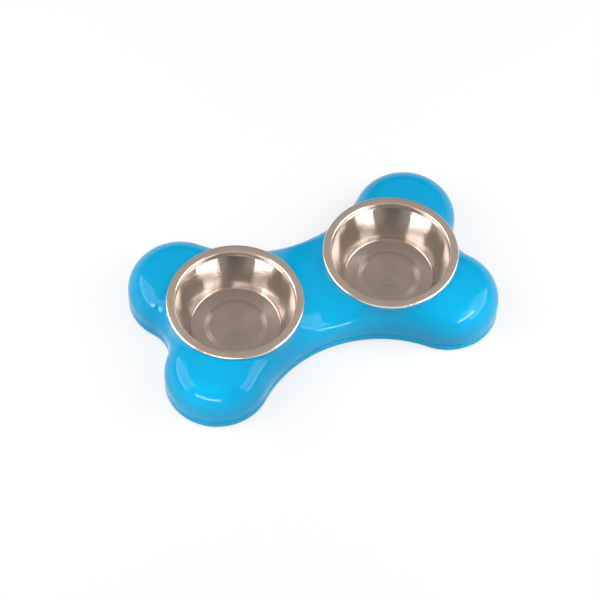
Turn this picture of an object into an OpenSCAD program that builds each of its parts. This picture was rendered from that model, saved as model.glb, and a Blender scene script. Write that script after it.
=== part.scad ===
// Double pet bowl: a moulded bone-shaped stand that holds two lift-out steel bowls.
// Millimetres, +Z up. The origin is on the floor, midway between the two bowls.
// X runs along the bone, and the front is towards -Y.

/* [Bowls] */
// Outer radius of a bowl's rim
rim_r = 70; // [66:0.5:73]
// Width of the flat rim, from its outer edge to the inside of the bowl
rim_w = 9; // [7:0.5:11]
// Height of the rim's turned-down edge, which stands on the seat
hem_h = 3.2; // [2.4:0.1:4.5]
// Depth of a bowl, from the top of its rim to its underside
bowl_depth = 45; // [37:0.5:46]
// Height of the upright neck between the rim and the bowl's slanting wall
neck_h = 7; // [5:0.5:10]
// Radius of the bend between the neck and the slanting wall
neck_bend_r = 5; // [2:0.5:9]
// How far the slanting wall leans in, from the neck to the floor
bowl_lean = 14.4; // [10:0.2:18]
// Radius of the bend between the bowl's wall and floor
bowl_bend_r = 3; // [2:0.5:7]
// Radius of the bend between the rim and its turned-down edge
hem_bend_r = 1.2; // [0.8:0.1:1.4]
// Radius of the bend between the rim and the bowl's wall
lip_bend_r = 1.6; // [1:0.1:3]
// Distance from the foot of the bowl's wall in to the floor's raised disc
disc_in = 19.6; // [15:0.2:26]
// Height of the raised disc
disc_h = 0.9; // [0.5:0.1:1.6]
// Thickness of the steel sheet
sheet_t = 0.8; // [0.6:0.05:1]
// Gap between the two rims
rim_gap = 30.8; // [24:0.2:38]

/* [Outline of the bone] */
// Radius of each of the four lobes
lobe_r = 53.5; // [50:0.5:56]
// Distance along the bone from a bowl's centre to its lobes' centres
lobe_out = 40.3; // [38:0.1:44]
// Distance across the bone from its centre line to a lobe's centre
lobe_y = 55.3; // [53:0.1:59]
// Gap between a rim and the bottom of the notch at the bone's end
notch_gap = 4.6; // [4:0.1:8]
// Half the width of the bone at its waist
waist_half = 58.6; // [56:0.1:62]

/* [Top shell] */
// Gap between a bowl's underside and the pan's floor
bowl_clear = 1.4; // [0.8:0.2:6]
// How far the skin sinks below the lobes' tops on its way to the waist's edge
waist_drop = 15; // [8:0.5:18]
// Radius of the rounded edge on the lobes
lobe_round = 28; // [22:0.5:30]
// Radius of the rounded edge at the waist
waist_round = 9; // [7:0.5:16]
// Half the length over which the sunken waist fades out
waist_fade = 88; // [62:1:88]
// Half the length over which the waist's rounded edge widens to the lobes'
round_fade = 52; // [46:1:70]
// Thickness of the shell
shell_wall = 2.5; // [2:0.1:3]
// Height of the bowl seats above the lobes' tops
seat_rise = 0.3; // [0.2:0.05:1]
// How far a seat reaches past the rim that stands on it
seat_over = 0.5; // [0.2:0.1:1.2]
// Gap round a bowl's wall in its opening
bowl_gap = 0.6; // [0.4:0.1:1.5]
// Thickness of a seat and of the walls round it
collar_t = 2.2; // [1.8:0.1:2.6]
// Height of the skirt round an opening
skirt_h = 11; // [8:0.5:15]
// Thickness of the ribs inside the shell
rib_t = 1.8; // [1.4:0.1:2.4]

/* [Base pan] */
// Height of the band that shows below the parting line
band_h = 9; // [7.5:0.5:11]
// Height of the shadow groove along the parting line
groove_h = 0.9; // [0.5:0.1:1.4]
// Depth of the shadow groove
groove_d = 0.8; // [0.4:0.1:1.2]
// Thickness of the floor
floor_t = 2.5; // [2:0.1:3]
// Height of the tongue that locates the shell
tongue_h = 4; // [3:0.5:6]
// Thickness of the tongue
tongue_t = 1.8; // [1.4:0.1:2.4]
// Gap between the tongue and the shell
tongue_gap = 0.25; // [0.2:0.05:0.4]
// Width of the break along the underside's edge
edge_break = 1.2; // [0.6:0.1:2]

/* [Feet] */
// Radius of a rubber foot
foot_r = 9.5; // [8:0.5:11]
// How far a foot stands out below the base
foot_out = 2; // [1.5:0.1:3]
// Depth of the pocket that a foot sits in
foot_pocket = 1; // [0.6:0.1:1.5]
// Gap round a foot in its pocket
foot_gap = 0.2; // [0.1:0.05:0.4]
// Distance from the outside of a lobe in to its foot
foot_in = 22.9; // [20:0.1:26]
// Radius of a foot's stem
stem_r = 2.8; // [2.2:0.1:3.4]
// Radius of the barb that holds the stem
barb_r = 4; // [3.8:0.1:4.6]
// Height of the barb
barb_h = 3; // [2:0.2:4]
// Radius of the barb's tip
barb_tip_r = 2; // [1.4:0.1:2.4]
// Width of the break along the foot's lower edge
foot_break = 0.9; // [0.5:0.1:1.5]

/* [Screws] */
// Radius of a screw's shank
screw_r = 1.6; // [1.3:0.1:1.9]
// Length of a screw's shank
screw_len = 14; // [11:0.5:18]
// Radius of a screw's head
head_r = 3.2; // [2.8:0.1:3.6]
// Height of a screw's head
head_h = 2.2; // [1.8:0.1:2.6]
// Length of an arm of the cross in a screw's head
cross_len = 1.5; // [1:0.1:1.8]
// Width of the arms of the cross
cross_w = 0.8; // [0.5:0.1:1]
// Gap round a screw in its hole
screw_gap = 0.1; // [0.05:0.05:0.2]
// Gap round a screw's head in its counterbore
head_gap = 0.6; // [0.4:0.1:1]
// Radius of the post that a screw passes through
post_r = 5.4; // [5.2:0.1:6]
// Height of a post above the underside
post_h = 10; // [9:0.5:12]
// Thickness of the post's web under the screw's head
post_web = 3.6; // [2.6:0.2:4.6]
// Distance from a lobe's foot back to its screw
screw_back = 19; // [17:0.5:21]
// Distance from the centre line to the screws at the waist
waist_screw_y = 38; // [34:0.5:42]

/* [Hidden] */
$fn = 96;

// One overrun serves every cut.
over = 1;

// Places that the pieces share
bowl_x = rim_r + rim_gap / 2;
lobe_x = bowl_x + lobe_out;
notch_x = bowl_x + rim_r + notch_gap;
under_z = foot_out;
part_z = under_z + band_h;
lobe_h = floor_t + bowl_clear + bowl_depth - hem_h - seat_rise;
lobe_z = under_z + lobe_h;
seat_z = lobe_z + seat_rise;
seat_r = rim_r + seat_over;
rim_z = seat_z + hem_h;
opening_r = rim_r - rim_w + sheet_t + bowl_gap;
// Radius at which the lines of a bowl's wall and floor meet
bowl_foot_r = rim_r - rim_w - bowl_lean;
disc_r = bowl_foot_r - disc_in;
lobe_way = [lobe_out, lobe_y] / norm([lobe_out, lobe_y]);
foot_reach = norm([lobe_out, lobe_y]) + lobe_r - foot_in;
screw_reach = foot_reach - screw_back;
sides = [-1, 1];

// The notch and the waist are arcs that touch the lobes. Each radius follows from the
// point that the arc passes through on its axis.
notch_in = notch_x - lobe_x;
waist_in = waist_half - lobe_y;
notch_r = (notch_in * notch_in + lobe_y * lobe_y - lobe_r * lobe_r) / (2 * (lobe_r - notch_in));
waist_r = (lobe_x * lobe_x + waist_in * waist_in - lobe_r * lobe_r) / (2 * (lobe_r - waist_in));
notch_cx = notch_x + notch_r;
waist_cy = waist_half + waist_r;

// Directions of the points where the arcs meet, seen from the lobe's centre
notch_turn = atan2(-lobe_y, notch_cx - lobe_x);
waist_turn = atan2(waist_cy - lobe_y, -lobe_x);

// Steps along a quarter of the outline
notch_steps = 3;
lobe_steps = 22;
waist_steps = 10;
quarter = notch_steps + lobe_steps + waist_steps;
around = 4 * quarter;
// Steps of the skin round its edge and over its crown, outside and inside
outer_steps = [7, 4];
inner_steps = [4, 2];
// Most that the edge's steps take of the way to a seat
edge_share = 0.85;
// Steps of the waist that face the other half of the bone and no bowl
middle_steps = 3;
last_seat = quarter - middle_steps;

function divided(from, to, n) = [for (i = [0:n - 1]) from + (to - from) * i / n];

// A station is [centre x, centre y, radius, sign of an inset, direction].
first_quarter = concat(
    [for (a = divided(180, 180 + notch_turn, notch_steps)) [notch_cx, 0, notch_r, 1, a]],
    [for (a = divided(notch_turn, waist_turn, lobe_steps)) [lobe_x, lobe_y, lobe_r, -1, a]],
    [for (a = divided(waist_turn - 180, -90, waist_steps)) [0, waist_cy, waist_r, 1, a]],
    [[0, waist_cy, waist_r, 1, -90]]);

// Stations count from the notch at +X, by way of the waist at +Y, round the whole bone.
// A quarter's point is mirrored into the other three.
function mirrored(i, quarter_point) =
    let (half = 2 * quarter)
    i <= quarter ? quarter_point(i)
    : i <= half ? let (p = quarter_point(half - i)) [-p.x, p.y]
    : i <= half + quarter ? -quarter_point(i - half)
    : let (p = quarter_point(around - i)) [p.x, -p.y];

// Point of the outline at station i, moved inwards by the inset
function edge_point(i, inset) = mirrored(i, function (k)
    let (s = first_quarter[k], r = s[2] + s[3] * inset)
    [s[0] + r * cos(s[4]), s[1] + r * sin(s[4])]);

// Direction from the bowl's centre of the seat's point that belongs to station k
function seat_turn(k) =
    let (first = notch_steps + lobe_steps, p = edge_point(min(k, first), 0),
         own = atan2(p.y, p.x - bowl_x))
    k <= first ? own : own + (180 - own) * (k - first) / (last_seat - first);

// Point where the surface that starts at station i ends: on a circle round the bowl's
// centre or, between the bowls, on the bone's centre line
function seat_point(i, r) = mirrored(i, function (k)
    k <= last_seat ? [bowl_x, 0] + r * [cos(seat_turn(k)), sin(seat_turn(k))]
    : [(bowl_x - r) * (quarter - k) / middle_steps, 0]);

// Distance of a point inside the bone from the outline, and the x of the outline's
// nearest point where that is on the waist
function facing(p) =
    let (x = abs(p.x), y = abs(p.y),
         to_notch = [notch_cx - x, y], to_waist = [x, waist_cy - y],
         in_notch = atan2(to_notch.y, to_notch.x) <= atan2(lobe_y, notch_cx - lobe_x),
         in_waist = atan2(to_waist.x, to_waist.y) <= atan2(lobe_x, waist_cy - lobe_y),
         notch_d = norm(to_notch) - notch_r, waist_d = norm(to_waist) - waist_r,
         waist_x = waist_r * x / norm(to_waist))
    in_waist && (!in_notch || waist_d < notch_d) ? [waist_d, waist_x]
    : in_notch ? [notch_d, notch_x]
    : [lobe_r - norm([x - lobe_x, y - lobe_y]), lobe_x];

// A share that falls smoothly from 1 at the middle of the waist to 0 at x = reach
function faded_share(x, reach) = x < reach ? (1 + cos(180 * x / reach)) / 2 : 0;

// Share of the waist's drop at p: its distance from one rim times that from the other, so
// that it is 0 along both rims and 1 at the middle of the waist's edge
function drop_share(p) =
    let (near = norm([abs(p.x) - bowl_x, p.y]) - rim_r,
         far = norm([abs(p.x) + bowl_x, p.y]) - rim_r)
    max(0, near) * far / pow(norm([bowl_x, waist_half]) - rim_r, 2);

function round_r(x) = lobe_round + (waist_round - lobe_round) * faded_share(x, round_fade);
function crown_z(x, p) = lobe_z - waist_drop * faded_share(x, waist_fade) * drop_share(p);

// Point of the skin above or under p: skin is 0 on the outside and the shell's thickness
// on the inside, and the edge is rounded with the radius that belongs to the place.
function skin_point(p, skin) =
    let (f = facing(p), d = max(f[0], skin), r = round_r(f[1]),
         rise = d < r ? sqrt(max(0, pow(r - skin, 2) - pow(r - d, 2))) : r - skin)
    [p.x, p.y, crown_z(f[1], p) - r + rise];

// Row k between the outline and the seat: even turns round the edge, then even steps
function row(k, steps, skin, end_r) = [for (i = [0:around - 1])
    let (a = edge_point(i, skin), b = seat_point(i, end_r), whole = norm(b - a),
         edge = min((round_r(abs(a.x)) - skin) / whole, edge_share),
         t = k <= steps[0] ? edge * (1 - cos(90 * k / steps[0]))
             : edge + (1 - edge) * (k - steps[0]) / steps[1])
    skin_point(a + (b - a) * t, skin)];

// The seat's own rows, as [radius, height], from the skin's outside to its inside. They
// reach into the opening, which is bored afterwards.
uncut_r = opening_r - over;
seat_rows = [
    [seat_r, seat_z], [uncut_r, seat_z],
    [uncut_r, seat_z - skirt_h], [opening_r + collar_t, seat_z - skirt_h],
    [opening_r + collar_t, seat_z - collar_t], [seat_r - collar_t, seat_z - collar_t]];

function wall_row(inset) = [for (i = [0:around - 1])
    let (p = edge_point(i, inset)) [p.x, p.y, part_z]];

outer_rows = outer_steps[0] + outer_steps[1];
inner_rows = inner_steps[0] + inner_steps[1];
shell_rows = concat(
    [wall_row(0)],
    [for (k = [0:outer_rows]) row(k, outer_steps, 0, seat_r)],
    [for (s = seat_rows) [for (i = [0:around - 1])
        let (p = seat_point(i, s[0])) [p.x, p.y, s[1]]]],
    [for (k = [inner_rows:-1:0]) row(k, inner_steps, shell_wall, seat_r - collar_t)],
    [wall_row(shell_wall)]);

// Rows on the seats, from the skin's outside to its inside. Their two halves meet on the
// centre line between the bowls, where a point in front has the same number as behind.
seat_from = outer_rows + 1;
seat_to = seat_from + len(seat_rows) + 1;
function spot(row, i) =
    let (j = (i + around) % around)
    row * around + (row >= seat_from && row <= seat_to && j >= 2 * quarter + last_seat
                    && j <= around - last_seat ? around - j : j);

// Stations with a seat: those round the bowl at +X and those round the bowl at -X
seat_stations = [for (first = [0, 2 * quarter], i = [-last_seat:last_seat - 1]) first + i];

// The bone's skin with its two seats: every row joined to the next, and the last to the first
module bone_skin() {
    rows = len(shell_rows);
    polyhedron(
        points = [for (r = shell_rows) each r],
        faces = [for (r = [0:rows - 1])
            let (next = (r + 1) % rows, on_seat = r >= seat_from && r < seat_to)
            for (i = on_seat ? seat_stations : [0:around - 1])
                let (a = spot(r, i), b = spot(next, i), c = spot(next, i + 1), d = spot(r, i + 1))
                each [[a, b, c], [a, c, d]]]);
}

// The bone's outline, drawn from its own arcs and moved inwards by the inset
module bone_outline(inset) {
    difference() {
        union() {
            polygon([[notch_cx, 0], [lobe_x, lobe_y], [0, waist_cy], [-lobe_x, lobe_y],
                     [-notch_cx, 0], [-lobe_x, -lobe_y], [0, -waist_cy], [lobe_x, -lobe_y]]);
            for (x = sides, y = sides)
                translate([x * lobe_x, y * lobe_y]) circle(r = lobe_r - inset);
        }
        for (x = sides) translate([x * notch_cx, 0]) circle(r = notch_r + inset);
        for (y = sides) translate([0, y * waist_cy]) circle(r = waist_r + inset, $fn = 2 * $fn);
    }
}

module bone_slab(inset, from_z, to_z) {
    translate([0, 0, from_z]) linear_extrude(height = to_z - from_z) bone_outline(inset);
}

// Children at the two bowls
module at_bowls() {
    for (x = sides) translate([x * bowl_x, 0, 0]) children();
}

// Place in a lobe, at a distance from the bowl's centre towards the lobe's centre
function lobe_place(side, way, reach) =
    [side * (bowl_x + reach * lobe_way.x), way * reach * lobe_way.y, 0];

module at_screws() {
    for (x = sides, y = sides) translate(lobe_place(x, y, screw_reach)) children();
    for (y = sides) translate([0, y * waist_screw_y, 0]) children();
}

// Screw seats: the head's underside is one post web below the top of the post
post_z = under_z + post_h;
head_z = post_z - post_web;
boss_r = post_r - head_gap;

// Height of the middle of the shell's thickness on the line across the waist
function waist_mid_z(y) = crown_z(0, [0, y]) - shell_wall / 2;

module shell_bosses() {
    for (x = sides, y = sides)
        translate(lobe_place(x, y, screw_reach))
            translate([0, 0, post_z])
                cylinder(r = boss_r, h = lobe_z - shell_wall / 2 - post_z);
    for (y = sides)
        translate([0, y * waist_screw_y, post_z])
            cylinder(r = boss_r, h = waist_mid_z(waist_screw_y) - post_z);
}

// Ribs: one from each lobe's boss to the skirt round the opening, and one across the waist
module shell_ribs() {
    rib_z = seat_z - skirt_h;
    for (x = sides, y = sides)
        translate([x * bowl_x, 0, rib_z])
            rotate(atan2(y * lobe_way.y, x * lobe_way.x))
                translate([opening_r + collar_t / 2, -rib_t / 2, 0])
                    cube([screw_reach - opening_r - collar_t / 2, rib_t,
                          lobe_z - shell_wall / 2 - rib_z]);
    rib_steps = 8;
    ys = [for (i = [0:rib_steps]) waist_screw_y * (2 * i / rib_steps - 1)];
    low_z = waist_mid_z(waist_screw_y) - skirt_h;
    translate([-rib_t / 2, 0, 0]) rotate([90, 0, 90])
        linear_extrude(height = rib_t)
            polygon(concat([for (y = ys) [y, waist_mid_z(y)]],
                           [[waist_screw_y, low_z], [-waist_screw_y, low_z]]));
}

module top_shell() {
    color([0, 0.42, 0.75]) difference() {
        union() {
            bone_skin();
            shell_bosses();
            shell_ribs();
        }
        at_bowls() translate([0, 0, seat_z - skirt_h - over])
            cylinder(r = opening_r, h = skirt_h + 2 * over);
        at_screws() translate([0, 0, post_z - over])
            cylinder(r = screw_r + screw_gap, h = screw_len - post_web + 2 * over);
    }
}

module foot_pocket_cut() {
    translate([0, 0, under_z - over]) cylinder(r = foot_r + foot_gap, h = foot_pocket + over);
    translate([0, 0, under_z]) cylinder(r = stem_r + foot_gap, h = floor_t + foot_pocket + over);
}

module at_feet() {
    for (x = sides, y = sides) translate(lobe_place(x, y, foot_reach)) children();
}

module base_pan() {
    lip = shell_wall + tongue_gap;
    color([0, 0.45, 0.78]) difference() {
        union() {
            difference() {
                union() {
                    bone_slab(edge_break / 2, under_z, under_z + edge_break);
                    bone_slab(0, under_z + edge_break / 2, part_z - groove_h);
                    bone_slab(groove_d, under_z + edge_break, part_z);
                    bone_slab(lip, part_z - groove_h, part_z + tongue_h);
                }
                bone_slab(lip + tongue_t, under_z + floor_t, part_z + tongue_h + over);
            }
            at_screws() translate([0, 0, under_z]) cylinder(r = post_r, h = post_h);
            at_feet() translate([0, 0, under_z])
                cylinder(r = foot_r + tongue_t, h = floor_t + foot_pocket);
        }
        at_screws() {
            translate([0, 0, under_z - over])
                cylinder(r = head_r + head_gap, h = head_z - under_z + over);
            translate([0, 0, under_z]) cylinder(r = screw_r + head_gap / 2, h = post_h + over);
        }
        at_feet() foot_pocket_cut();
    }
}

// Path with rounded corners, as [centre, from angle, to angle, radius, side] per corner
function unit(v) = v / norm(v);
function corner_arc(a, b, c, r) =
    let (u = unit(a - b), v = unit(c - b), half = acos(u * v) / 2,
         centre = b + unit(u + v) * r / sin(half),
         side = sign(u.x * v.y - u.y * v.x),
         from = atan2(-side * u.x, side * u.y), turn = 180 - 2 * half)
    [centre, from, from - side * turn, r, side];

// Points of the path moved sideways by half a sheet, to the right of its direction
function path_side(p, radii, shift, n) =
    let (last = len(p) - 1, side_of = function (a, b) let (d = unit(b - a)) [d.y, -d.x])
    concat([p[0] + side_of(p[0], p[1]) * shift],
           [for (i = [1:last - 1])
               let (arc = corner_arc(p[i - 1], p[i], p[i + 1], radii[i]))
               for (k = [0:n])
                   let (a = arc[1] + (arc[2] - arc[1]) * k / n)
                   arc[0] + (arc[3] - arc[4] * shift) * [cos(a), sin(a)]],
           [p[last] + side_of(p[last - 1], p[last]) * shift]);

module pressed_sheet(path, radii, thickness, n) {
    right = path_side(path, radii, thickness / 2, n);
    left = path_side(path, radii, -thickness / 2, n);
    rotate_extrude()
        polygon(concat(right, [for (i = [len(left) - 1:-1:0]) left[i]]));
}

// A bowl pressed from one sheet, from the rim's turned-down edge to the floor's middle
module bowl() {
    half = sheet_t / 2;
    top = rim_z - half;
    floor_z = rim_z - bowl_depth + half;
    path = [[rim_r - half, seat_z],
            [rim_r - half, top],
            [rim_r - rim_w + half, top],
            [rim_r - rim_w + half, top - neck_h],
            [bowl_foot_r, floor_z],
            [disc_r + disc_h, floor_z],
            [disc_r, floor_z + disc_h],
            [0, floor_z + disc_h]];
    radii = [0, hem_bend_r, lip_bend_r, neck_bend_r, bowl_bend_r, sheet_t, sheet_t, 0];
    bend_steps = 6;
    color([0.72, 0.7, 0.67]) pressed_sheet(path, radii, sheet_t, bend_steps);
}

// A rubber foot: a pad in the pocket, a stem through the floor and a barb above it
module foot(side, way) {
    ledge = under_z + floor_t + foot_pocket;
    color([0.1, 0.1, 0.11]) translate(lobe_place(side, way, foot_reach))
        rotate_extrude()
            polygon([[0, 0], [foot_r - foot_break, 0], [foot_r, foot_break],
                     [foot_r, under_z + foot_pocket], [stem_r, under_z + foot_pocket],
                     [stem_r, ledge], [barb_r, ledge], [barb_tip_r, ledge + barb_h],
                     [0, ledge + barb_h]]);
}

// Pan-head screws, put in from below through the posts
module base_screws() {
    color([0.6, 0.6, 0.62]) at_screws() difference() {
        union() {
            translate([0, 0, head_z - head_h]) cylinder(r = head_r, h = head_h);
            translate([0, 0, head_z - head_h / 2]) cylinder(r = screw_r, h = screw_len + head_h / 2);
        }
        for (a = [0, 90]) rotate(a)
            translate([-cross_len, -cross_w / 2, head_z - head_h - over])
                cube([2 * cross_len, cross_w, head_h / 2 + over]);
    }
}

module bowl_left() translate([-bowl_x, 0, 0]) bowl();
module bowl_right() translate([bowl_x, 0, 0]) bowl();
module foot_front_left() foot(-1, -1);
module foot_front_right() foot(1, -1);
module foot_rear_left() foot(-1, 1);
module foot_rear_right() foot(1, 1);

top_shell();
base_pan();
bowl_left();
bowl_right();
foot_front_left();
foot_front_right();
foot_rear_left();
foot_rear_right();
base_screws();
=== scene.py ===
"""Looks of the double pet bowl: smooth skins, finishes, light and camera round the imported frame.

Lengths are millimetres until a mesh is made, and the frame's axes hold: X along the bone, Z up,
front towards -Y. A surface is a grid of points, rows by columns, whose columns run
anticlockwise seen from above while its rows run up outside and down inside, so that every face
points outwards.
"""

import math

import bmesh
import bpy
import numpy as np
from mathutils import Matrix, Vector
from mathutils.geometry import delaunay_2d_cdt


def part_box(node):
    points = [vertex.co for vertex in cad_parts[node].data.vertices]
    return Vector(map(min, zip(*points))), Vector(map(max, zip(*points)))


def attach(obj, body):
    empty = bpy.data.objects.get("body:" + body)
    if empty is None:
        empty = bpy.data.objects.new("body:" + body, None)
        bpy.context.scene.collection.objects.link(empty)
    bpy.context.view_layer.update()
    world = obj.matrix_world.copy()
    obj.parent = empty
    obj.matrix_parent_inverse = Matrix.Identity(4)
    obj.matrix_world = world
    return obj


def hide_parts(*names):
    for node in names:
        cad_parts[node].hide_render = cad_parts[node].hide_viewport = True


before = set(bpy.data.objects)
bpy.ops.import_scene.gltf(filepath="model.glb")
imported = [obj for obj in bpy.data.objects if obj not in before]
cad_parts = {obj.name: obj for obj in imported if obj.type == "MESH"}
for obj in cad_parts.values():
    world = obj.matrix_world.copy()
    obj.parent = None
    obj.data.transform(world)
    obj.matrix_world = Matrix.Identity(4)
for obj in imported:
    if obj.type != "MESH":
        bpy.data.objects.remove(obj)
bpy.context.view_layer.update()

MM = 0.001
WELD = 1e-6

# Studio: levels of its world, where 1 is white, and how far off its lamps stand, in metres
LIGHT_REACH = 1.3
WORLD_LEVEL = 0.40
FAR_LEVEL = 0.11
NEAR_LEVEL = 0.45
WORLD_TINT = (1.0, 0.95, 0.9, 1)
TOWARDS_CAMERA = (-0.386, -0.923, 0)
FLOOR_REACH = 6.0
FLOOR_DROP = 0.0002
FLOOR_DIFFUSE = (0.38, 0.38, 0.38, 1)
FLOOR_GLOW = 0.66
STRIP_DEPTH = 4

# The photograph's camera: bearing, height angle and roll in degrees, then its distance, its
# shifts to the right and upwards, and the height that it aims at
CAMERA_ANGLES = (-22.69, 55.31, 1.12)
CAMERA_PLACE = (2160.17, -13.54, -8.64, 22.0)
CAMERA_LENS = 126.0
CAMERA_SENSOR = 36.0

# Sizes read from the frame
bowl_low, bowl_high = (np.array(corner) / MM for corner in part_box("bowl_right"))
foot_low, foot_high = (np.array(corner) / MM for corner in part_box("foot_front_right"))
pan_low, pan_high = (np.array(corner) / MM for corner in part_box("base_pan"))
RIM_R = (bowl_high[0] - bowl_low[0]) / 2
BOWL_X = (bowl_high[0] + bowl_low[0]) / 2
RIM_Z = bowl_high[2]
BOWL_FLOOR_Z = bowl_low[2]
FOOT_R = (foot_high[0] - foot_low[0]) / 2
UNDER_Z = pan_low[2]

# Bowls
RIM_W = 9.0
HEM_H = 3.2
SHEET_T = 0.8
NECK_H = 7.0
BOWL_LEAN = 14.4
DISC_R = 27.0
DISC_SLOPE = 5.2
DISC_H = 0.9
RING_R = 12.0
RING_FLAT = 0.3
RING_HALF = 1.4
RING_D = 0.15
HEM_BEND = 1.5
LIP_BEND = 1.6
NECK_BEND = 5.0
WALL_BEND = 3.0
DISC_BEND = 2.6
RING_OUT_BEND = 0.8
RING_IN_BEND = 0.6

# Outline of the bone
LOBE_R = 53.5
LOBE_OUT = 40.3
LOBE_Y = 55.3
NOTCH_GAP = 4.6
WAIST_HALF = 58.6

# Top shell
LOBE_H = 45.4
WAIST_DROP = 15.0
LOBE_ROUND = 28.0
WAIST_ROUND = 9.0
WAIST_FADE = 88.0
ROUND_FADE = 52.0
SHELL_WALL = 2.5
SEAT_OVER = 0.5
BOWL_GAP = 0.6
COLLAR_T = 2.2
SKIRT_H = 11.0
COLLAR_BLEND = 3.0
EDGE_SOFT = 0.5
RIB_T = 1.8

# Base pan
BAND_H = 9.0
GROOVE_H = 0.9
GROOVE_D = 0.8
FLOOR_T = 2.5
TONGUE_H = 4.0
TONGUE_T = 1.8
TONGUE_GAP = 0.25
EDGE_BREAK = 1.2

# Feet and screws
FOOT_POCKET = 1.0
FOOT_GAP = 0.2
FOOT_IN = 22.9
STEM_R = 2.8
BARB_R = 4.0
BARB_TIP_R = 2.0
BARB_H = 3.0
FOOT_BREAK = 0.9
SCREW_R = 1.6
SCREW_LEN = 14.0
THREAD_PITCH = 1.3
HEAD_R = 3.2
HEAD_H = 2.2
CROSS_LEN = 1.5
CROSS_W = 0.8
HEAD_GAP = 0.6
SCREW_GAP = 0.1
POST_R = 5.4
POST_H = 10.0
POST_WEB = 3.6
SCREW_BACK = 19.0
WAIST_SCREW_Y = 38.0

# Places that follow from the sizes
LOBE_X = BOWL_X + LOBE_OUT
NOTCH_X = BOWL_X + RIM_R + NOTCH_GAP
PART_Z = UNDER_Z + BAND_H
LOBE_Z = UNDER_Z + LOBE_H
SEAT_Z = RIM_Z - HEM_H
SEAT_R = RIM_R + SEAT_OVER
OPENING_R = RIM_R - RIM_W + SHEET_T + BOWL_GAP
POST_Z = UNDER_Z + POST_H
HEAD_Z = POST_Z - POST_WEB
BOSS_R = POST_R - HEAD_GAP
FLOOR_Z = UNDER_Z + FLOOR_T
LEDGE_Z = FLOOR_Z + FOOT_POCKET
LOBE_WAY = np.array([LOBE_OUT, LOBE_Y]) / math.hypot(LOBE_OUT, LOBE_Y)
FOOT_REACH = math.hypot(LOBE_OUT, LOBE_Y) + LOBE_R - FOOT_IN
SCREW_REACH = FOOT_REACH - SCREW_BACK

notch_in = NOTCH_X - LOBE_X
waist_in = WAIST_HALF - LOBE_Y
NOTCH_R = (notch_in**2 + LOBE_Y**2 - LOBE_R**2) / (2 * (LOBE_R - notch_in))
WAIST_R = (LOBE_X**2 + waist_in**2 - LOBE_R**2) / (2 * (LOBE_R - waist_in))
NOTCH_CX = NOTCH_X + NOTCH_R
WAIST_CY = WAIST_HALF + WAIST_R


def lobe_place(side, way, reach):
    """A place in a lobe, at a reach from the bowl's centre towards the lobe's centre."""
    return np.array([side * (BOWL_X + reach * LOBE_WAY[0]), way * reach * LOBE_WAY[1]])


SIDES = (-1, 1)
FOOT_PLACES = {
    f"{'front' if way < 0 else 'rear'}_{'left' if side < 0 else 'right'}": lobe_place(
        side, way, FOOT_REACH
    )
    for side in SIDES
    for way in SIDES
}
SCREW_PLACES = [lobe_place(side, way, SCREW_REACH) for side in SIDES for way in SIDES] + [
    np.array([0.0, way * WAIST_SCREW_Y]) for way in SIDES
]


# Meshes
def grid_quads(rows, columns, first):
    """Corner numbers of the quads of a grid whose points are numbered row by row."""
    r, c = np.mgrid[0 : rows - 1, 0 : columns - 1]
    corner = (first + r * columns + c).ravel()
    return np.stack([corner, corner + 1, corner + columns + 1, corner + columns], 1)


def piece(name, grids, material, body, triangles=(), sharp=32.0):
    """One smooth-shaded piece from grids of points and (points, triangles) sheets, welded
    where their points meet. Edges that turn by more than `sharp` degrees stay crisp."""
    points, faces, count = [], [], 0
    for grid in grids:
        rows, columns, _ = grid.shape
        points.append(grid.reshape(-1, 3))
        faces.extend(grid_quads(rows, columns, count).tolist())
        count += rows * columns
    for sheet_points, sheet_faces in triangles:
        points.append(sheet_points)
        faces.extend((np.asarray(sheet_faces) + count).tolist())
        count += len(sheet_points)
    mesh = bpy.data.meshes.new(name)
    mesh.from_pydata((np.concatenate(points) * MM).tolist(), [], faces)
    work = bmesh.new()
    work.from_mesh(mesh)
    bmesh.ops.remove_doubles(work, verts=work.verts, dist=WELD)
    bmesh.ops.dissolve_degenerate(work, edges=work.edges, dist=WELD / 10)
    work.to_mesh(mesh)
    work.free()
    mesh.shade_smooth()
    mesh.set_sharp_from_angle(angle=math.radians(sharp))
    mesh.materials.append(material)
    made = bpy.data.objects.new(name, mesh)
    bpy.context.scene.collection.objects.link(made)
    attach(made, body)
    return made


def arc(centre, radius, start, end, steps):
    """Points on a circle round centre, from one angle to another in degrees."""
    a = np.radians(np.linspace(start, end, steps + 1))
    return np.stack([centre[0] + radius * np.cos(a), centre[1] + radius * np.sin(a)], 1)


def rounded_path(corners, radii, steps):
    """A chain of straight lines whose corners are tangent arcs, as points and the unit
    normals on the right of its direction. The arc at a corner has its centre on the
    bisector, radius / sin(half the angle) away."""
    corners = np.asarray(corners, float)
    points, normals = [], []
    way = np.diff(corners, axis=0)
    way /= np.linalg.norm(way, axis=1)[:, None]
    right = np.stack([way[:, 1], -way[:, 0]], 1)
    points.append(corners[:1])
    normals.append(right[:1])
    for k in range(1, len(corners) - 1):
        turn = math.atan2(
            way[k - 1, 0] * way[k, 1] - way[k - 1, 1] * way[k, 0], way[k - 1] @ way[k]
        )
        reach = radii[k] * math.tan(abs(turn) / 2)
        start = corners[k] - way[k - 1] * reach
        centre = start - right[k - 1] * radii[k] * math.copysign(1, turn)
        swing = turn * np.linspace(0, 1, steps + 1)
        c, s = np.cos(swing)[:, None], np.sin(swing)[:, None]
        n = right[k - 1]
        normal = c * n + s * np.array([-n[1], n[0]])
        points.append(centre + normal * radii[k] * math.copysign(1, turn))
        normals.append(normal)
    points.append(corners[-1:])
    normals.append(right[-1:])
    return np.concatenate(points), np.concatenate(normals)


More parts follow.
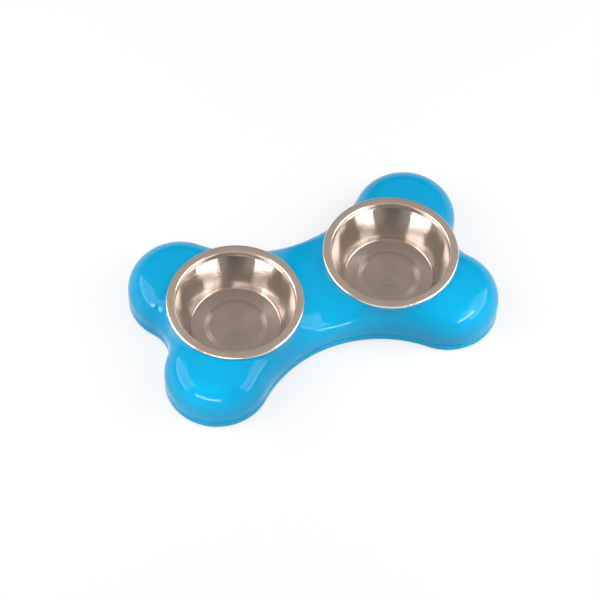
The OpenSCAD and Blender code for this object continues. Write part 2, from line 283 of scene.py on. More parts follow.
def revolved(profile, centre=(0.0, 0.0), around=192):
    """A profile of (radius, height) turned round an upright axis."""
    a = np.linspace(0, 2 * math.pi, around + 1)
    a[-1] = 0
    r, z = profile[:, 0, None], profile[:, 1, None]
    return np.stack(
        [centre[0] + r * np.cos(a), centre[1] + r * np.sin(a), z + 0 * a], 2
    )


def rounded_profile(corners, soft, steps=4):
    """A (radius, height) profile with each inner corner rounded by the radius in soft."""
    return rounded_path(corners, [0, *soft, 0], steps)[0]


# The bone's outline, as stations: centre, radius, side of an inset and direction
NOTCH_STEPS, LOBE_STEPS, WAIST_STEPS, MIDDLE_STEPS = 12, 84, 40, 10
QUARTER = NOTCH_STEPS + LOBE_STEPS + WAIST_STEPS
LAST_SEAT = QUARTER - MIDDLE_STEPS


def quarter_stations():
    """Stations of one quarter, from the notch at +X to the middle of the waist at +Y."""
    notch_turn = math.degrees(math.atan2(-LOBE_Y, NOTCH_CX - LOBE_X))
    waist_turn = math.degrees(math.atan2(WAIST_CY - LOBE_Y, -LOBE_X))
    arcs = [
        ((NOTCH_CX, 0), NOTCH_R, 1, 180, 180 + notch_turn, NOTCH_STEPS),
        ((LOBE_X, LOBE_Y), LOBE_R, -1, notch_turn, waist_turn, LOBE_STEPS),
        ((0, WAIST_CY), WAIST_R, 1, waist_turn - 180, -90, WAIST_STEPS),
    ]
    rows = []
    for (cx, cy), r, side, start, end, steps in arcs:
        for a in np.linspace(start, end, steps, endpoint=False):
            rows.append((cx, cy, r, side, math.radians(a)))
    rows.append((0, WAIST_CY, WAIST_R, 1, math.radians(-90)))
    return np.array(rows)


STATIONS = quarter_stations()


def whole(quarter):
    """A quarter's points mirrored into the other three, closed round the whole bone."""
    half = np.concatenate([quarter, quarter[-2::-1] * [-1, 1]])
    return np.concatenate([half, -half[1:]])


def edge_points(inset):
    """The outline at every station, moved inwards by the inset."""
    cx, cy, r, side, a = STATIONS.T
    reach = r + side * inset
    return whole(np.stack([cx + reach * np.cos(a), cy + reach * np.sin(a)], 1))


def seat_points(radius):
    """Where the surface from each station ends: on a circle round the bowl's centre or,
    between the bowls, on the bone's centre line."""
    cx, cy, r, _, a = STATIONS.T
    x, y = cx + r * np.cos(a), cy + r * np.sin(a)
    turn = np.arctan2(y, x - BOWL_X)
    first = NOTCH_STEPS + LOBE_STEPS
    k = np.arange(QUARTER + 1)
    swept = turn[first] + (math.pi - turn[first]) * (k - first) / (LAST_SEAT - first)
    turn = np.where(k <= first, turn, np.minimum(swept, math.pi))
    on_seat = np.stack([BOWL_X + radius * np.cos(turn), radius * np.sin(turn)], 1)
    on_seat[0, 1] = on_seat[LAST_SEAT, 1] = 0
    middle = (BOWL_X - radius) * (QUARTER - k) / MIDDLE_STEPS
    between = np.stack([middle, 0 * middle], 1)
    return whole(np.where((k <= LAST_SEAT)[:, None], on_seat, between))


def facing(x, y):
    """Distance of each point from the outline, and the x of the outline's nearest point.
    The nearest arc is the one whose sector, seen from its centre, holds the point."""
    x, y = abs(x), abs(y)
    notch_d = np.hypot(NOTCH_CX - x, y) - NOTCH_R
    to_waist = np.hypot(x, WAIST_CY - y)
    waist_d = to_waist - WAIST_R
    lobe_d = LOBE_R - np.hypot(x - LOBE_X, y - LOBE_Y)
    in_notch = np.arctan2(y, NOTCH_CX - x) <= math.atan2(LOBE_Y, NOTCH_CX - LOBE_X)
    in_waist = np.arctan2(x, WAIST_CY - y) <= math.atan2(LOBE_X, WAIST_CY - LOBE_Y)
    waist_first = in_waist & (~in_notch | (waist_d < notch_d))
    distance = np.where(waist_first, waist_d, np.where(in_notch, notch_d, lobe_d))
    return distance, np.where(waist_first, WAIST_R * x / to_waist, LOBE_X)


def smooth(t):
    """From 0 to 1 without a kink at either end."""
    t = np.clip(t, 0, 1)
    return t * t * (3 - 2 * t)


def faded_share(x, reach):
    """A share that falls by half a cosine wave from 1 at x = 0 to 0 at x = reach."""
    return (1 + np.cos(math.pi * np.minimum(x / reach, 1))) / 2


def edge_round(edge_x):
    """Radius of the rounded edge where the outline's nearest point lies at edge_x."""
    return LOBE_ROUND + (WAIST_ROUND - LOBE_ROUND) * faded_share(edge_x, ROUND_FADE)


def skin_height(x, y, skin):
    """Height of the skin: a crown that sinks towards the waist's edge, less a rounded edge
    of radius r, whose height at a distance d from the outline follows a circle. The drop is
    the distance from one rim times that from the other, over the same at the middle of the
    waist's edge. `skin` is 0 outside and the wall's thickness inside."""
    d, edge_x = facing(x, y)
    d = np.maximum(d, skin)
    near = np.maximum(np.hypot(abs(x) - BOWL_X, y) - RIM_R, 0)
    far = np.hypot(abs(x) + BOWL_X, y) - RIM_R
    drop = near * far / (math.hypot(BOWL_X, WAIST_HALF) - RIM_R) ** 2
    crown = LOBE_Z - WAIST_DROP * faded_share(edge_x, WAIST_FADE) * drop
    r = edge_round(edge_x)
    rise = np.sqrt(np.maximum(0, (r - skin) ** 2 - np.maximum(r - d, 0) ** 2))
    return crown - r + rise


def collar_lift(x, y, z):
    """How far the skin is lifted beside a seat's collar, by a hollow quarter circle."""
    off = np.hypot(abs(x) - BOWL_X, y) - SEAT_R
    f = np.clip(0.7 * (SEAT_Z - z), 0.01, COLLAR_BLEND)
    near = np.clip(f - off, 0, f)
    return f - np.sqrt(f * f - near * near)


def skin_rows(skin, end_r, edge_steps, crown_steps):
    """Rows of the skin from the outline to the seats: even turns round the edge, then steps
    that get shorter towards the seats."""
    a, b = edge_points(skin), seat_points(end_r)
    length = np.linalg.norm(b - a, axis=1)
    _, edge_x = facing(a[:, 0], a[:, 1])
    edge = np.minimum((edge_round(edge_x) - skin) / length, 0.8)
    turn = 1 - np.cos(np.linspace(0, math.pi / 2, edge_steps + 1))
    rest = 1 - (1 - np.linspace(0, 1, crown_steps + 1)[1:]) ** 1.6
    t = np.concatenate([edge * turn[:, None], edge + (1 - edge) * rest[:, None]])
    xy = a + (b - a) * t[..., None]
    x, y = xy[..., 0], xy[..., 1]
    return np.dstack([x, y, skin_height(x, y, skin)])


def wall_rows(heights, insets):
    """Rows that follow the outline at given insets and heights."""
    flat = [edge_points(inset) for inset in insets]
    return np.stack(
        [np.column_stack([p, np.full(len(p), z)]) for p, z in zip(flat, heights)]
    )


def seat_columns():
    """Column numbers round each seat, closed: the right bowl's, then the left bowl's."""
    around = 4 * QUARTER
    ring = np.arange(-LAST_SEAT, LAST_SEAT + 1)
    return [ring % around, (ring + 2 * QUARTER) % around]


def shell_skin():
    """The whole skin as grids: outside, seats with their collars and skirts, and inside."""
    soft = EDGE_SOFT
    foot = np.linspace(0, math.pi / 2, 5)
    outer = skin_rows(0, SEAT_R, 40, 26)
    outer[..., 2] += collar_lift(outer[..., 0], outer[..., 1], outer[..., 2])
    inner = skin_rows(SHELL_WALL, SEAT_R - COLLAR_T, 16, 10)[::-1]
    lip = wall_rows(PART_Z + soft * (1 - np.cos(foot)), soft * (1 - np.sin(foot)))
    step = wall_rows([PART_Z, PART_Z], [SHELL_WALL, soft])
    rise = np.linspace(0, 1, 8)[1:-1, None, None]
    wall = lip[-1] + (outer[0] - lip[-1]) * rise
    grids = [np.concatenate([step[:1], lip, wall, outer])]
    grids.append(np.concatenate([inner, step[:1]]))
    tuck = arc((SEAT_R - soft, SEAT_Z - soft), soft, 0, 90, 5)
    mouth = arc((OPENING_R + soft, SEAT_Z - soft), soft, 90, 180, 5)
    low = SEAT_Z - SKIRT_H
    under = np.array(
        [
            [OPENING_R, low],
            [OPENING_R + COLLAR_T, low],
            [OPENING_R + COLLAR_T, SEAT_Z - COLLAR_T],
            [SEAT_R - COLLAR_T, SEAT_Z - COLLAR_T],
        ]
    )
    profile = np.concatenate([tuck, mouth, under])
    rings = np.stack(
        [np.column_stack([seat_points(r), np.full(4 * QUARTER + 1, z)]) for r, z in profile]
    )
    for columns in seat_columns():
        ring = np.concatenate([outer[-1:, columns], rings[:, columns], inner[:1, columns]])
        grids.append(ring)
    return grids


def shell_bosses():
    """Screw bosses inside the shell, each a tube whose top ends in the skin's thickness."""
    bore = SCREW_R + SCREW_GAP
    deep = HEAD_Z + SCREW_LEN + 1
    grids = []
    for x, y in SCREW_PLACES:
        top = skin_height(np.array(x), np.array(y), 0) - SHELL_WALL / 2
        grids.append(
            revolved(
                np.array(
                    [
                        [0, deep],
                        [bore, deep],
                        [bore, POST_Z],
                        [BOSS_R, POST_Z],
                        [BOSS_R, top],
                        [0, top],
                    ]
                ),
                (x, y),
                64,
            )
        )
    return grids


def rib_grid(path, low, high):
    """A rib along a straight level path: rings round its rectangular section, whose heights
    may change on the way, from one closed end to the other."""
    along = (path[-1] - path[0]) / np.linalg.norm(path[-1] - path[0])
    left = np.array([-along[1], along[0]]) * RIB_T / 2
    corners = [(1, low), (1, high), (-1, high), (-1, low), (1, low)]
    rings = np.stack(
        [np.column_stack([path + side * left, z + 0 * path[:, 0]]) for side, z in corners], 1
    )
    ends = np.repeat(rings[[0, -1], :4].mean(1)[:, None], 5, 1)
    return np.concatenate([ends[:1], rings, ends[1:]])


def shell_ribs():
    """Ribs inside the shell: one from each lobe's boss to the skirt, and one across the
    waist, whose upper edge follows the middle of the skin's thickness."""
    grids = []
    reach = np.linspace(OPENING_R + COLLAR_T / 2, SCREW_REACH, 5)
    for side in SIDES:
        for way in SIDES:
            path = np.array([lobe_place(side, way, r) for r in reach])
            grids.append(rib_grid(path, SEAT_Z - SKIRT_H, LOBE_Z - SHELL_WALL / 2))
    y = np.linspace(-WAIST_SCREW_Y, WAIST_SCREW_Y, 17)
    top = skin_height(0 * y, y, 0) - SHELL_WALL / 2
    grids.append(rib_grid(np.stack([0 * y, y], 1), top[0] - SKIRT_H, top))
    return grids


# The base pan
def flat_sheet(outline, holes, z, upwards):
    """A flat sheet inside an outline, less round holes, cut into triangles between their
    points."""
    loops = [outline] + holes
    points = [Vector(p) for loop in loops for p in loop]
    edges, start = [], 0
    for loop in loops:
        n = len(loop)
        edges += [(start + k, start + (k + 1) % n) for k in range(n)]
        start += n
    verts, _, tris, _, _, _ = delaunay_2d_cdt(points, edges, [], 1, 1e-6)
    made = np.array([[*v, z] for v in verts])
    tris = np.array([t for t in tris if len(t) == 3])
    middle = made[tris].mean(1)[:, :2]
    keep = np.ones(len(tris), bool)
    for hole in holes:
        centre = np.mean(hole, axis=0)
        radius = np.linalg.norm(hole[0] - centre)
        keep &= np.linalg.norm(middle - centre, axis=1) > radius * 0.999
    tris = tris[keep]
    turn = np.cross(
        made[tris[:, 1]] - made[tris[:, 0]], made[tris[:, 2]] - made[tris[:, 0]]
    )[:, 2]
    wrong = (turn > 0) != upwards
    tris[wrong] = tris[wrong][:, ::-1]
    return made, tris


def ring_points(centre, radius, around):
    """Points evenly round a circle, open."""
    a = np.linspace(0, 2 * math.pi, around + 1)[:-1]
    return np.stack([centre[0] + radius * np.cos(a), centre[1] + radius * np.sin(a)], 1)


def pan_parts():
    """The pan as a band swept along the outline, posts and pads turned round their holes,
    and the two flat sheets between them."""
    lip = SHELL_WALL + TONGUE_GAP
    soft = 0.3
    edge = np.linspace(0, math.pi / 2, 7)
    band = [(EDGE_BREAK * (1 - np.sin(a)), UNDER_Z + EDGE_BREAK * (1 - np.cos(a))) for a in edge]
    band += [
        (0, PART_Z - GROOVE_H - soft),
        (soft / 3, PART_Z - GROOVE_H - soft / 3),
        (soft, PART_Z - GROOVE_H),
        (GROOVE_D, PART_Z - GROOVE_H),
        (GROOVE_D, PART_Z),
        (lip, PART_Z),
        (lip, PART_Z + TONGUE_H - soft),
        (lip + soft, PART_Z + TONGUE_H),
        (lip + TONGUE_T, PART_Z + TONGUE_H),
        (lip + TONGUE_T, FLOOR_Z),
    ]
    insets, heights = zip(*band)
    grids = [wall_rows(heights, insets)]
    around = 64
    head_hole = HEAD_R + HEAD_GAP
    shank_hole = SCREW_R + HEAD_GAP / 2
    pad_r = FOOT_R + TONGUE_T
    pocket_r = FOOT_R + FOOT_GAP
    stem_hole = STEM_R + FOOT_GAP
    for place in SCREW_PLACES:
        outside = [[POST_R, FLOOR_Z], [POST_R, POST_Z - soft], [POST_R - soft, POST_Z]]
        inside = [
            [shank_hole, POST_Z],
            [shank_hole, HEAD_Z],
            [head_hole, HEAD_Z],
            [head_hole, UNDER_Z],
        ]
        grids.append(revolved(np.array(outside + inside), place, around))
    for place in FOOT_PLACES.values():
        outside = [[pad_r, FLOOR_Z], [pad_r, LEDGE_Z - soft], [pad_r - soft, LEDGE_Z]]
        inside = [
            [stem_hole, LEDGE_Z],
            [stem_hole, UNDER_Z + FOOT_POCKET],
            [pocket_r, UNDER_Z + FOOT_POCKET],
            [pocket_r, UNDER_Z],
        ]
        grids.append(revolved(np.array(outside + inside), place, around))
    places = SCREW_PLACES + list(FOOT_PLACES.values())
    low = [head_hole] * len(SCREW_PLACES) + [pocket_r] * len(FOOT_PLACES)
    high = [POST_R] * len(SCREW_PLACES) + [pad_r] * len(FOOT_PLACES)
    under = flat_sheet(
        edge_points(EDGE_BREAK)[:-1],
        [ring_points(p, r, around) for p, r in zip(places, low)],
        UNDER_Z,
        False,
    )
    floor = flat_sheet(
        edge_points(lip + TONGUE_T)[:-1],
        [ring_points(p, r, around) for p, r in zip(places, high)],
        FLOOR_Z,
        True,
    )
    return grids, [under, floor]


# Bowls, feet and screws
def bowl_grid(centre_x):
    """One bowl: a sheet's middle line with rounded bends, offset by half its thickness to
    both sides and turned round the bowl's axis. The line runs from the hem over the rim, down
    the neck and the slanting wall, and over the raised disc with its shallow ring."""
    half = SHEET_T / 2
    top = RIM_Z - half
    floor = BOWL_FLOOR_Z + half
    lip_r = RIM_R - RIM_W + half
    disc_top = floor + DISC_H
    corners = [
        [RIM_R - half, SEAT_Z + half],
        [RIM_R - half, top],
        [lip_r, top],
        [lip_r, top - NECK_H],
        [RIM_R - RIM_W - BOWL_LEAN, floor],
        [DISC_R + DISC_SLOPE, floor],
        [DISC_R, disc_top],
        [RING_R + RING_HALF, disc_top],
        [RING_R + RING_FLAT, disc_top - RING_D],
        [RING_R - RING_FLAT, disc_top - RING_D],
        [RING_R - RING_HALF, disc_top],
        [0, disc_top],
    ]
    upper_bends = [HEM_BEND, LIP_BEND, NECK_BEND, WALL_BEND, DISC_BEND, DISC_BEND]
    ring_bends = [RING_OUT_BEND, RING_IN_BEND, RING_IN_BEND, RING_OUT_BEND]
    radii = [0, *upper_bends, *ring_bends, 0]
    line, normal = rounded_path(corners, radii, 10)
    above, below = line + normal * half, (line - normal * half)[::-1]
    hem = arc((RIM_R - half, SEAT_Z + half), half, 180, 360, 8)
    profile = np.concatenate([hem, above, below])
    profile[:, 0] = np.maximum(profile[:, 0], 0)
    return revolved(profile, (centre_x, 0), 240)


def foot_grid(place):
    """A rubber foot turned round its axis: pad with a softened lower edge and a shallow
    ring, stem, and a barb that widens below its tip."""
    pad_top = UNDER_Z + FOOT_POCKET
    soft = FOOT_BREAK
    corners = [
        [0, 0.35],
        [FOOT_R * 0.42, 0.35],
        [FOOT_R * 0.52, 0],
        [FOOT_R, 0],
        [FOOT_R, pad_top],
        [STEM_R, pad_top],
        [STEM_R, LEDGE_Z],
        [BARB_R, LEDGE_Z],
        [BARB_TIP_R, LEDGE_Z + BARB_H],
        [0, LEDGE_Z + BARB_H],
    ]
    return revolved(
        rounded_profile(corners, [0.5, 0.5, soft, 0.2, 0.2, 0.2, 0.2, 0.6]), place, 96
    )


def screw_grids(place):
    """A pan-head screw, head down: a domed head with a cross-shaped recess, and a shank
    whose radius follows a helix."""
    low = HEAD_Z - HEAD_H
    a = np.linspace(0, 2 * math.pi, 73)
    a[-1] = 0
    r = np.linspace(0, 1, 32)[:, None] * HEAD_R * 0.94
    x, y = r * np.cos(a), r * np.sin(a)
    dome = low + 0.35 * (r / HEAD_R) ** 4
    arms = np.minimum(
        np.maximum(abs(x) / CROSS_LEN, abs(y) / (CROSS_W / 2)),
        np.maximum(abs(y) / CROSS_LEN, abs(x) / (CROSS_W / 2)),
    )
    cut = 1 - smooth((arms - 0.85) / 0.3)
    face = np.dstack([place[0] + x, place[1] + y, dome + cut * HEAD_H * 0.45])
    side = rounded_profile(
        [[HEAD_R * 0.94, low + 0.27], [HEAD_R, low + 0.7], [HEAD_R, HEAD_Z], [SCREW_R, HEAD_Z]],
        [0.3, 0.15],
    )
    t = np.linspace(0, 1, 140)[:, None]
    z = HEAD_Z + t * (SCREW_LEN + 0 * a)
    ridge = np.cos(2 * math.pi * (z - HEAD_Z) / THREAD_PITCH - a)
    tip = smooth((1 - t) * 6)
    radius = SCREW_R * (0.86 + 0.14 * ridge) * (0.25 + 0.75 * tip)
    radius[0] = SCREW_R
    shank = np.dstack([place[0] + radius * np.cos(a), place[1] + radius * np.sin(a), z])
    tip_z = HEAD_Z + SCREW_LEN
    end = revolved(np.array([[SCREW_R * 0.25, tip_z], [0, tip_z]]), place, 72)
    return [face, revolved(side, place, 72), shank, end]


# Finishes
def shader(name):
    """An empty node material and its links, with the principled shader and output ready."""
    material = bpy.data.materials.new(name)
    material.use_nodes = True
    return material, material.node_tree.nodes, material.node_tree.links


def node(nodes, kind, **values):
    """A node with its properties and, by name, its input sockets set."""
    made = nodes.new("ShaderNode" + kind)
    for key, value in values.items():
        if hasattr(made, key):
            setattr(made, key, value)
        else:
            made.inputs[key.replace("_", " ")].default_value = value
    return made


def object_space(nodes, links, location=(0, 0, 0), scale=(1, 1, 1)):
    """Object coordinates, moved and scaled."""
    place = node(nodes, "TexCoord")
    mapping = node(nodes, "Mapping")
    mapping.inputs["Location"].default_value = location
    mapping.inputs["Scale"].default_value = scale
    links.new(place.outputs["Object"], mapping.inputs["Vector"])
    return mapping.outputs["Vector"]


def ranged(nodes, links, value, low, high, source=(0.0, 1.0)):
    """A value carried from one range into another."""
    made = node(nodes, "MapRange")
    made.inputs["From Min"].default_value, made.inputs["From Max"].default_value = source
    made.inputs["To Min"].default_value, made.inputs["To Max"].default_value = low, high
    links.new(value, made.inputs["Value"])
    return made.outputs["Result"]


def noise(nodes, links, vector, scale, detail=2.0, roughness=0.5):
    """Smooth noise on a vector, from 0 to 1."""
    made = node(nodes, "TexNoise")
    made.inputs["Scale"].default_value = scale
    made.inputs["Detail"].default_value = detail
    made.inputs["Roughness"].default_value = roughness
    links.new(vector, made.inputs["Vector"])
    return made.outputs["Fac"]


def mixed(nodes, links, fac, low, high):
    """A colour between two, each a plain colour or another node's."""
    made = node(nodes, "Mix", data_type="RGBA")
    links.new(fac, made.inputs["Factor"])
    for socket in made.inputs:
        if socket.type == "RGBA":
            colour = low if socket.name == "A" else high
            if isinstance(colour, tuple):
                socket.default_value = (*colour, 1)
            else:
                links.new(colour, socket)
    return next(o for o in made.outputs if o.type == "RGBA")


def bump(nodes, links, height, strength, distance, under=None):
    """A normal bent by a height, on top of the normal of a lower bump where one is given."""
    made = node(nodes, "Bump")
    if under:
        links.new(under, made.inputs["Normal"])
    made.inputs["Strength"].default_value = strength
    made.inputs["Distance"].default_value = distance
    links.new(height, made.inputs["Height"])
    return made.outputs["Normal"]


def moulded_plastic(name, colour, deeper, rough):
    """Glossy moulded polypropylene: an even colour with a slow drift, a gloss that varies a
    little and the faint waviness of a polished mould."""
    material, nodes, links = shader(name)
    main = nodes["Principled BSDF"]
    place = object_space(nodes, links)
    drift = noise(nodes, links, place, 14.0)
    links.new(mixed(nodes, links, drift, colour, deeper), main.inputs["Base Color"])
    mottle = noise(nodes, links, place, 260.0, 4.0)
    links.new(ranged(nodes, links, mottle, rough[0], rough[1]), main.inputs["Roughness"])
    wave = noise(nodes, links, place, 46.0, 1.0)
    links.new(bump(nodes, links, wave, 0.05, 0.002), main.inputs["Normal"])
    main.inputs["IOR"].default_value = 1.5
    main.inputs["Specular IOR Level"].default_value = 0.25
    return material


def pressed_steel(name, centre_x):
    """Stainless steel, brushed in circles on its flat faces and polished on its wall. The floor is
    painted darker than the rim, as painted shade in the bowl's hollow, though both are one sheet.
    The brushing is noise on the distance from the bowl's axis, and its fine lines, which run round
    the axis, spread a reflection across themselves."""
    material, nodes, links = shader(name)
    main = nodes["Principled BSDF"]
    round_axis = node(nodes, "Tangent", direction_type="RADIAL", axis="Z")
    links.new(round_axis.outputs["Tangent"], main.inputs["Tangent"])
    main.inputs["Anisotropic"].default_value = 0.8
    main.inputs["Anisotropic Rotation"].default_value = 0.25
    place = object_space(nodes, links, location=(-centre_x * MM, 0, 0))
    split = node(nodes, "SeparateXYZ")
    links.new(place, split.inputs["Vector"])
    flat = node(nodes, "CombineXYZ")
    links.new(split.outputs["X"], flat.inputs["X"])
    links.new(split.outputs["Y"], flat.inputs["Y"])
    radius = node(nodes, "VectorMath", operation="LENGTH")
    links.new(flat.outputs["Vector"], radius.inputs[0])
    lathe = node(nodes, "CombineXYZ")
    links.new(radius.outputs["Value"], lathe.inputs["X"])
    links.new(split.outputs["Z"], lathe.inputs["Z"])
    rings = noise(nodes, links, lathe.outputs["Vector"], 1500.0, 3.0, 0.7)
    broad = noise(nodes, links, lathe.outputs["Vector"], 260.0, 3.0, 0.6)
    smear = noise(nodes, links, place, 60.0, 3.0, 0.6)
    # `height` leaves out the floor and `rim` the rim, so their product is the wall's share
    height = ranged(
        nodes, links, split.outputs["Z"], 0, 1, ((BOWL_FLOOR_Z + 2) * MM, (BOWL_FLOOR_Z + 9) * MM)
    )
    rim = ranged(
        nodes, links, split.outputs["Z"], 1, 0, ((RIM_Z - 2.5) * MM, (RIM_Z - 0.6) * MM)
    )
    wall = node(nodes, "Math", operation="MULTIPLY")
    links.new(height, wall.inputs[0])
    links.new(rim, wall.inputs[1])
    # The floor's colours are painted shade: the rim's steel, made darker in the bowl's hollow
    floor_painted_shade = mixed(nodes, links, broad, FLOOR_SHADED_DARK, FLOOR_SHADED_LIGHT)
    on_rim = mixed(nodes, links, broad, RIM_DARK, RIM_LIGHT)
    brushed = mixed(nodes, links, height, floor_painted_shade, on_rim)
    polished = mixed(nodes, links, smear, WALL_DARK, WALL_LIGHT)
    links.new(
        mixed(nodes, links, wall.outputs["Value"], brushed, polished), main.inputs["Base Color"]
    )
    base = ranged(nodes, links, wall.outputs["Value"], 0.22, 0.10)
    extra = ranged(nodes, links, smear, -0.04, 0.04)
    rough = node(nodes, "Math", operation="ADD")
    links.new(base, rough.inputs[0])
    links.new(extra, rough.inputs[1])
    links.new(rough.outputs["Value"], main.inputs["Roughness"])
    waves = bump(nodes, links, smear, 0.3, 0.0006)
    links.new(bump(nodes, links, rings, 0.08, 0.0002, waves), main.inputs["Normal"])
    main.inputs["Metallic"].default_value = 1.0
    return material


def foot_rubber():
    """Matt dark rubber with a fine grain."""
    material, nodes, links = shader("foot_rubber")
    main = nodes["Principled BSDF"]
    place = object_space(nodes, links)
    grain = noise(nodes, links, place, 900.0, 3.0)
    links.new(
        mixed(nodes, links, grain, (0.022, 0.022, 0.024), (0.04, 0.04, 0.043)),
        main.inputs["Base Color"],
    )
    links.new(ranged(nodes, links, grain, 0.7, 0.9), main.inputs["Roughness"])
    links.new(bump(nodes, links, grain, 0.3, 0.0002), main.inputs["Normal"])
    return material


def zinc_plate():
    """Zinc-plated steel: bright, slightly clouded."""
    material, nodes, links = shader("zinc_plate")
    main = nodes["Principled BSDF"]
    place = object_space(nodes, links)
    cloud = noise(nodes, links, place, 700.0, 3.0)
    links.new(
        mixed(nodes, links, cloud, (0.5, 0.51, 0.53), (0.66, 0.66, 0.68)),
        main.inputs["Base Color"],
    )
    links.new(ranged(nodes, links, cloud, 0.24, 0.42), main.inputs["Roughness"])
    main.inputs["Metallic"].default_value = 1.0
    return material


BLUE = (0.0, 0.405, 0.755)
BLUE_DEEPER = (0.0, 0.418, 0.77)
# The floor's steel tones are painted shade, darker than the rim's tones of the same sheet
FLOOR_SHADED_DARK = (0.58, 0.47, 0.42)
FLOOR_SHADED_LIGHT = (0.76, 0.63, 0.565)
RIM_DARK = (0.88, 0.75, 0.64)
RIM_LIGHT = (0.96, 0.83, 0.71)
WALL_DARK = (0.72, 0.68, 0.65)
WALL_LIGHT = (0.88, 0.84, 0.81)

shell_plastic = moulded_plastic("shell_plastic", BLUE, BLUE_DEEPER, (0.07, 0.11))
base_plastic = moulded_plastic("base_plastic", (0.0, 0.42, 0.76), (0.0, 0.43, 0.78), (0.2, 0.3))
rubber = foot_rubber()
zinc = zinc_plate()

skin = piece("shell_skin", shell_skin(), shell_plastic, "stand")
piece("shell_bosses", shell_bosses(), shell_plastic, "stand")
piece("shell_ribs", shell_ribs(), shell_plastic, "stand")
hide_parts("top_shell")

pan_grids, pan_sheets = pan_parts()
pan = piece("pan", pan_grids, base_plastic, "stand", pan_sheets)
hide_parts("base_pan")

for side, way in (("left", -1), ("right", 1)):
    steel = pressed_steel(f"pressed_steel_{side}", way * BOWL_X)
    grids = [bowl_grid(way * BOWL_X)]
    bowl = piece(f"steel_bowl_{side}", grids, steel, f"{side}_bowl")
    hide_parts(f"bowl_{side}")

for where, place in FOOT_PLACES.items():
    foot = piece(f"rubber_foot_{where}", [foot_grid(place)], rubber, "stand")
    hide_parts(f"foot_{where}")

screws = piece(
    "screws", [g for p in SCREW_PLACES for g in screw_grids(p)], zinc, "stand"
)
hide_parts("base_screws")


# Studio
def studio_floor():
    """A white floor, a hair below the feet so that no faces coincide. It shows itself a
    little brighter to the camera and in reflections than it lights the object."""
    mesh = bpy.data.meshes.new("floor")
    corners = [(x * FLOOR_REACH, y * FLOOR_REACH, -FLOOR_DROP) for y in SIDES for x in SIDES]
    mesh.from_pydata(corners, [], [(0, 1, 3, 2)])
    material, nodes, links = shader("floor_white")
    nodes.remove(nodes["Principled BSDF"])
    diffuse = node(nodes, "BsdfDiffuse")
    diffuse.inputs["Color"].default_value = FLOOR_DIFFUSE
    glow = node(nodes, "Emission")
    path = node(nodes, "LightPath")
    mirrored = node(nodes, "Math", operation="MAXIMUM")
    links.new(path.outputs["Is Glossy Ray"], mirrored.inputs[0])
    links.new(path.outputs["Is Transmission Ray"], mirrored.inputs[1])
    seen = node(nodes, "Math", operation="MAXIMUM")
    links.new(path.outputs["Is Camera Ray"], seen.inputs[0])
    links.new(mirrored.outputs["Value"], seen.inputs[1])
    level = node(nodes, "Math", operation="MULTIPLY")
    level.inputs[1].default_value = FLOOR_GLOW
    links.new(seen.outputs["Value"], level.inputs[0])
    links.new(level.outputs["Value"], glow.inputs["Strength"])
    both = node(nodes, "AddShader")
    links.new(diffuse.outputs["BSDF"], both.inputs[0])
    links.new(glow.outputs["Emission"], both.inputs[1])
    links.new(both.outputs["Shader"], nodes["Material Output"].inputs["Surface"])
    mesh.materials.append(material)
    floor = bpy.data.objects.new("floor", mesh)
    bpy.context.scene.collection.objects.link(floor)


def studio_world():
    """A pale, slightly warm room: white at the horizon and dimmer above, most of all low down
    on the far side from the photograph's camera, and least on the near side."""
    world = bpy.data.worlds.new("studio")
    world.use_nodes = True
    bpy.context.scene.world = world
    nodes, links = world.node_tree.nodes, world.node_tree.links
    place = node(nodes, "TexCoord")
    split = node(nodes, "SeparateXYZ")
    links.new(place.outputs["Generated"], split.inputs["Vector"])
    side = node(nodes, "VectorMath", operation="DOT_PRODUCT")
    links.new(place.outputs["Generated"], side.inputs[0])
    side.inputs[1].default_value = TOWARDS_CAMERA
    far = ranged(nodes, links, side.outputs["Value"], FAR_LEVEL, WORLD_LEVEL, (-0.86, -0.64))
    near = ranged(nodes, links, side.outputs["Value"], 0, NEAR_LEVEL - WORLD_LEVEL, (0.3, 0.9))
    level = node(nodes, "Math", operation="ADD")
    links.new(far, level.inputs[0])
    links.new(near, level.inputs[1])
    upward = ranged(nodes, links, split.outputs["Z"], 1.0, WORLD_LEVEL, (0.06, 0.3))
    links.new(level.outputs["Value"], upward.node.inputs["To Max"])
    links.new(upward, nodes["Background"].inputs["Strength"])
    nodes["Background"].inputs["Color"].default_value = WORLD_TINT


def light_arc(name, target, span, heights, tiles, depth, radiance, spread=180.0):
    """A soft light bent round a target: level tiles that face it from equal distances, side
    by side from one azimuth of the span to the other, at height angles that run evenly
    through `heights`, each `depth` degrees high. A tile's power is its radiance times pi
    times its area. A spread under 180 degrees puts a grid on it, which multiplies its middle
    by tan(h) / (tan(h) - h), h being half the spread."""
    target = Vector(target) * MM
    half = math.radians(spread / 2)
    grid = 1 if spread == 180 else math.tan(half) / (math.tan(half) - half)
    width = math.radians(span[1] - span[0]) / tiles
    share = (np.arange(tiles) + 0.5) / tiles
    rise = np.radians(np.interp(share, np.linspace(0, 1, len(heights)), heights))
    bearings = math.radians(span[0]) + width * tiles * share
    for k, (a, h) in enumerate(zip(bearings, rise)):
        out = Vector((math.cos(a) * math.cos(h), math.sin(a) * math.cos(h), math.sin(h)))
        along = Vector((-math.sin(a), math.cos(a), 0))
        lamp = bpy.data.lights.new(f"{name}_{k}", "AREA")
        lamp.shape = "RECTANGLE"
        lamp.size = 2 * LIGHT_REACH * math.cos(h) * math.tan(width / 2)
        lamp.size_y = 2 * LIGHT_REACH * math.tan(math.radians(depth / 2))
        lamp.energy = radiance * math.pi * lamp.size * lamp.size_y / grid
        lamp.spread = math.radians(spread)
        made = bpy.data.objects.new(lamp.name, lamp)
        axes = Matrix((along, out.cross(along), out)).transposed()
        made.matrix_world = Matrix.Translation(target + out * LIGHT_REACH) @ axes.to_4x4()
        bpy.context.scene.collection.objects.link(made)


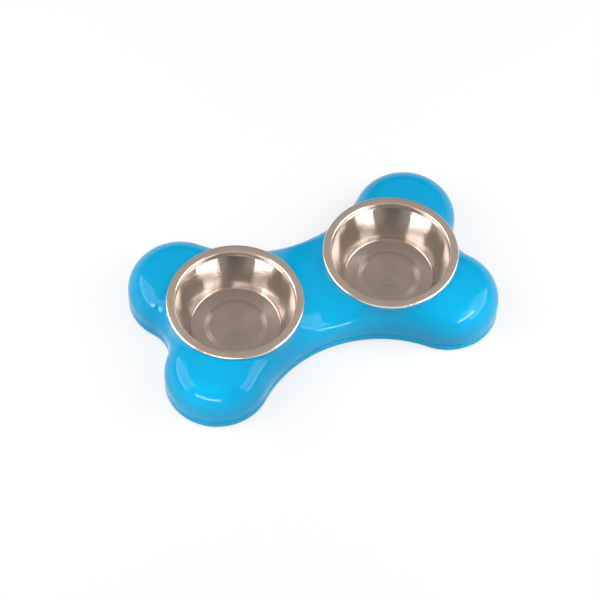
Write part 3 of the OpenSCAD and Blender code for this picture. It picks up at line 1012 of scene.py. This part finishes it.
def photo_camera():
    """The photograph's camera, placed by its bearing, height angle, roll and distance."""
    bearing, height, roll = (math.radians(a) for a in CAMERA_ANGLES)
    distance, shift_x, shift_y, aim_z = CAMERA_PLACE
    back = Vector(
        (
            math.sin(bearing) * math.cos(height),
            -math.cos(bearing) * math.cos(height),
            math.sin(height),
        )
    )
    level = Vector((math.cos(bearing), math.sin(bearing), 0))
    up = back.cross(level)
    right = level * math.cos(roll) + up * math.sin(roll)
    above = up * math.cos(roll) - level * math.sin(roll)
    place = Vector((0, 0, aim_z)) + back * distance + right * shift_x + above * shift_y
    data = bpy.data.cameras.new("camera")
    data.sensor_width = CAMERA_SENSOR
    data.lens = CAMERA_LENS
    data.clip_end = 50.0
    made = bpy.data.objects.new("camera", data)
    axes = Matrix((right, above, back)).transposed()
    made.matrix_world = Matrix.Translation(place * MM) @ axes.to_4x4()
    bpy.context.scene.collection.objects.link(made)
    bpy.context.scene.camera = made


# The bright walls of the room that the bowls mirror, left and right: spans of azimuth
WALLS = {"left_wall": (126, 186), "right_wall": (-58, 6)}

# Strip lights that leave a streak on one place of the plastic: target, span of azimuth, height
# angles along it, tiles, radiance and spread
STRIPS = {
    "left_strip": ((-150, -92, 40), (-159, -103), (33, 34, 33, 30), 16, 29, 5),
    "right_strip": ((128, -97, 41), (-88, -38), (34, 41, 44, 44), 16, 29, 5),
    "waist_strip": ((0, -55, 34), (-88, -60), (10, 20, 25, 18), 10, 40, 4.6),
}
# Height angles of the tiles of an upright strip, whose streak is on the left lobe
LOBE_STRIP = (26, 29, 32, 35, 38)

studio_floor()
studio_world()
for name, span in WALLS.items():
    light_arc(name, (0, 0, 20), span, [43.5], 4, 26, 2.3)
    light_arc(f"{name}_foot", (0, 0, 20), span, [26], 4, 9, 4.2)
for row in (-2, 2):
    for name, (target, span, heights, tiles, radiance, spread) in STRIPS.items():
        lifted = row + np.array(heights)
        light_arc(f"{name}_{row}", target, span, lifted, tiles, STRIP_DEPTH, radiance, spread)
for k, height in enumerate(LOBE_STRIP):
    light_arc(f"lobe_strip_{k}", (-160, 27, 41), (-177, -170), [height], 1, 3, 34, 5)
photo_camera()
bpy.context.scene.view_settings.view_transform = "Standard"
